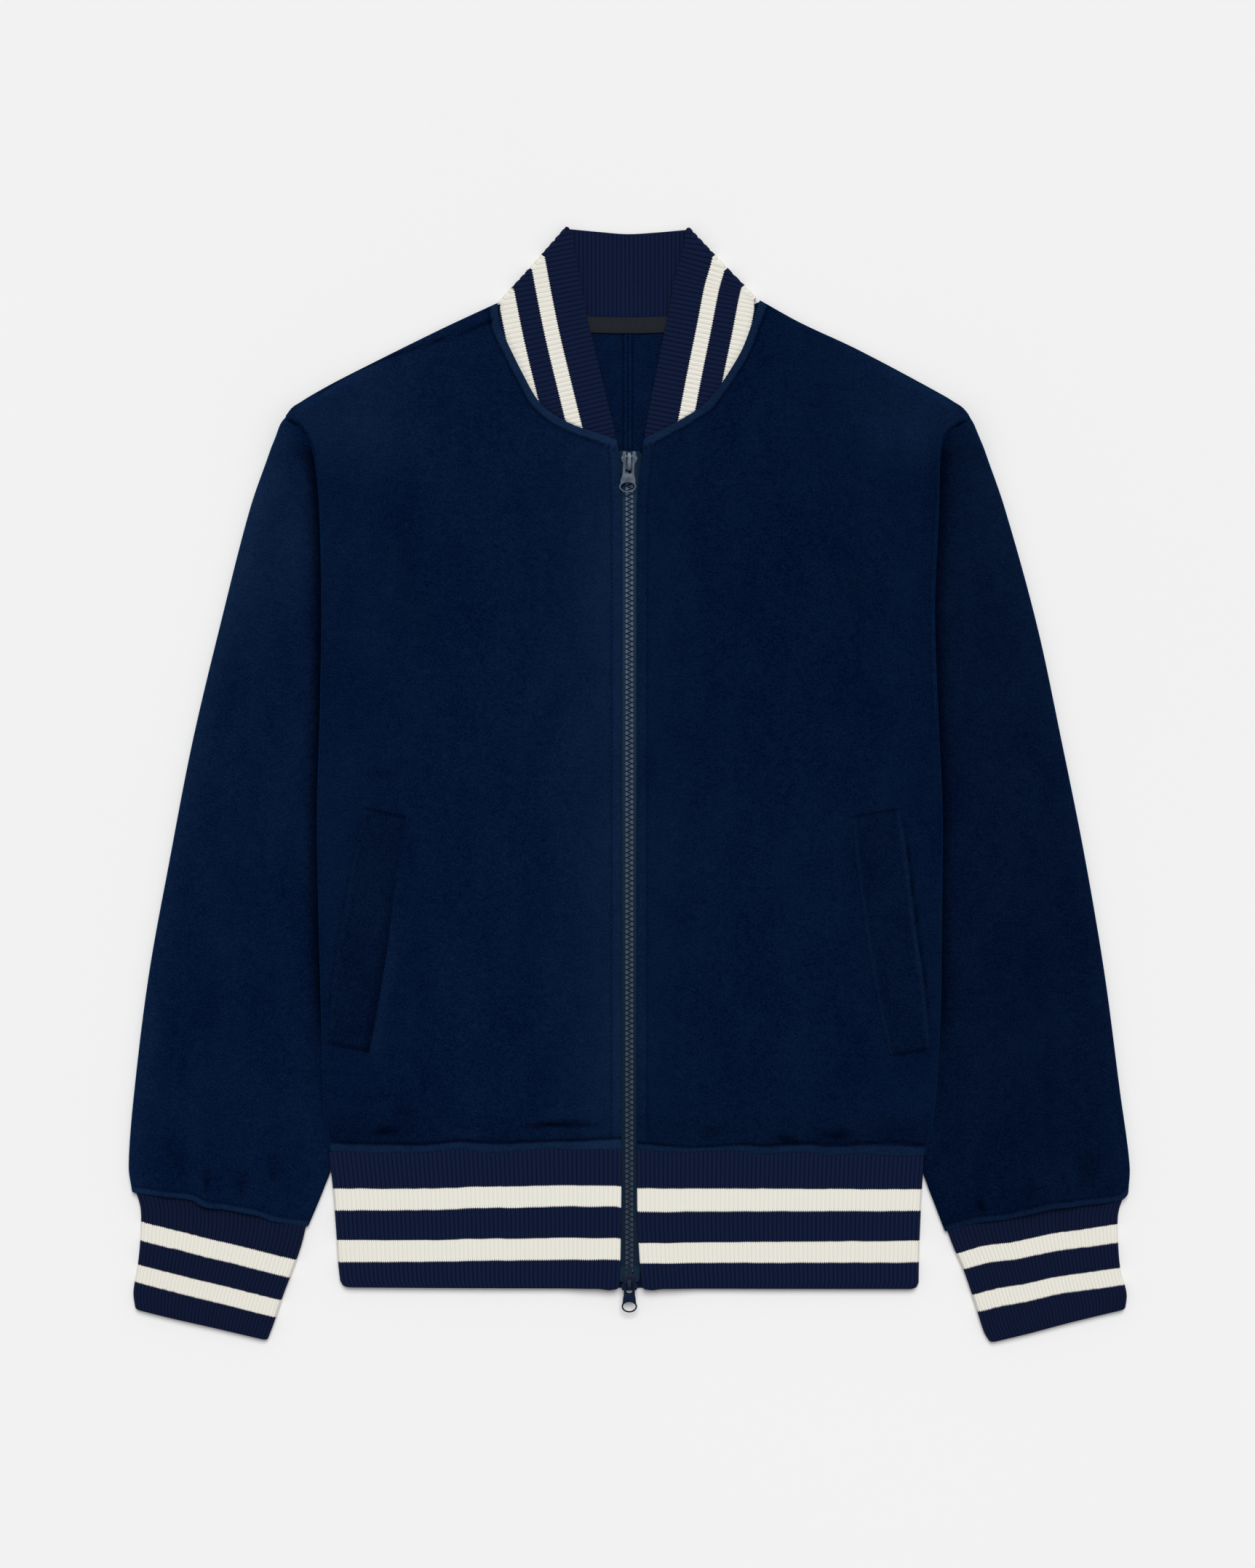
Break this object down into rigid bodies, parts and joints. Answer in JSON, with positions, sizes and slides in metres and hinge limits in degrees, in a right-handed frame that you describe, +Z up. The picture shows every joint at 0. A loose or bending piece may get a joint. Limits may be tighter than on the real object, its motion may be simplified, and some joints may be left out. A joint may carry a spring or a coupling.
{
  "type": "fleece track jacket",
  "caption": "Zip-front fleece track jacket laid flat, with a standing collar, striped rib trim, slanted welt pockets and a moulded zip that opens from either end.",
  "frame": {"origin": "on the surface that the jacket lies on, under the middle of its bounding box", "axes": "+Y from the hem to the collar, +X to the right seen from the front, +Z up out of the front"},
  "size_m": [0.688, 0.7683, 0.0145],
  "materials": {
    "fleece": "brushed navy fleece with a short soft nap",
    "rib_knit": "navy rib knit with cream stripes",
    "woven_tape": "dark grey woven tape",
    "moulded_plastic": "blue-grey moulded plastic, softly glossy"
  },
  "bodies": {
    "jacket": {"back_left": "fleece", "back_right": "fleece", "collar": "rib_knit", "cuff_left": "rib_knit", "cuff_right": "rib_knit", "front_left": "fleece", "front_right": "fleece", "hem_band": "rib_knit", "neck_tape": "woven_tape", "pocket_welt_left": "fleece", "pocket_welt_right": "fleece", "sleeve_left": "fleece", "sleeve_right": "fleece", "slider_bottom": "moulded_plastic", "slider_top": "moulded_plastic", "zip_tape_left": "woven_tape", "zip_tape_right": "woven_tape", "zip_teeth_left": "moulded_plastic", "zip_teeth_right": "moulded_plastic"},
    "pull_top": {"pull_top": "moulded_plastic"},
    "pull_bottom": {"pull_bottom": "moulded_plastic"}
  },
  "joints": [
    {"name": "pull_top_hinge", "type": "hinge", "parent": "jacket", "child": "pull_top", "pos_m": [0, 0.2252, 0.0102], "axis": [-1, 0, 0], "range_deg": [0, 170]},
    {"name": "pull_bottom_hinge", "type": "hinge", "parent": "jacket", "child": "pull_bottom", "pos_m": [0, -0.3416, 0.0102], "axis": [-1, 0, 0], "range_deg": [0, 170]}
  ]
}
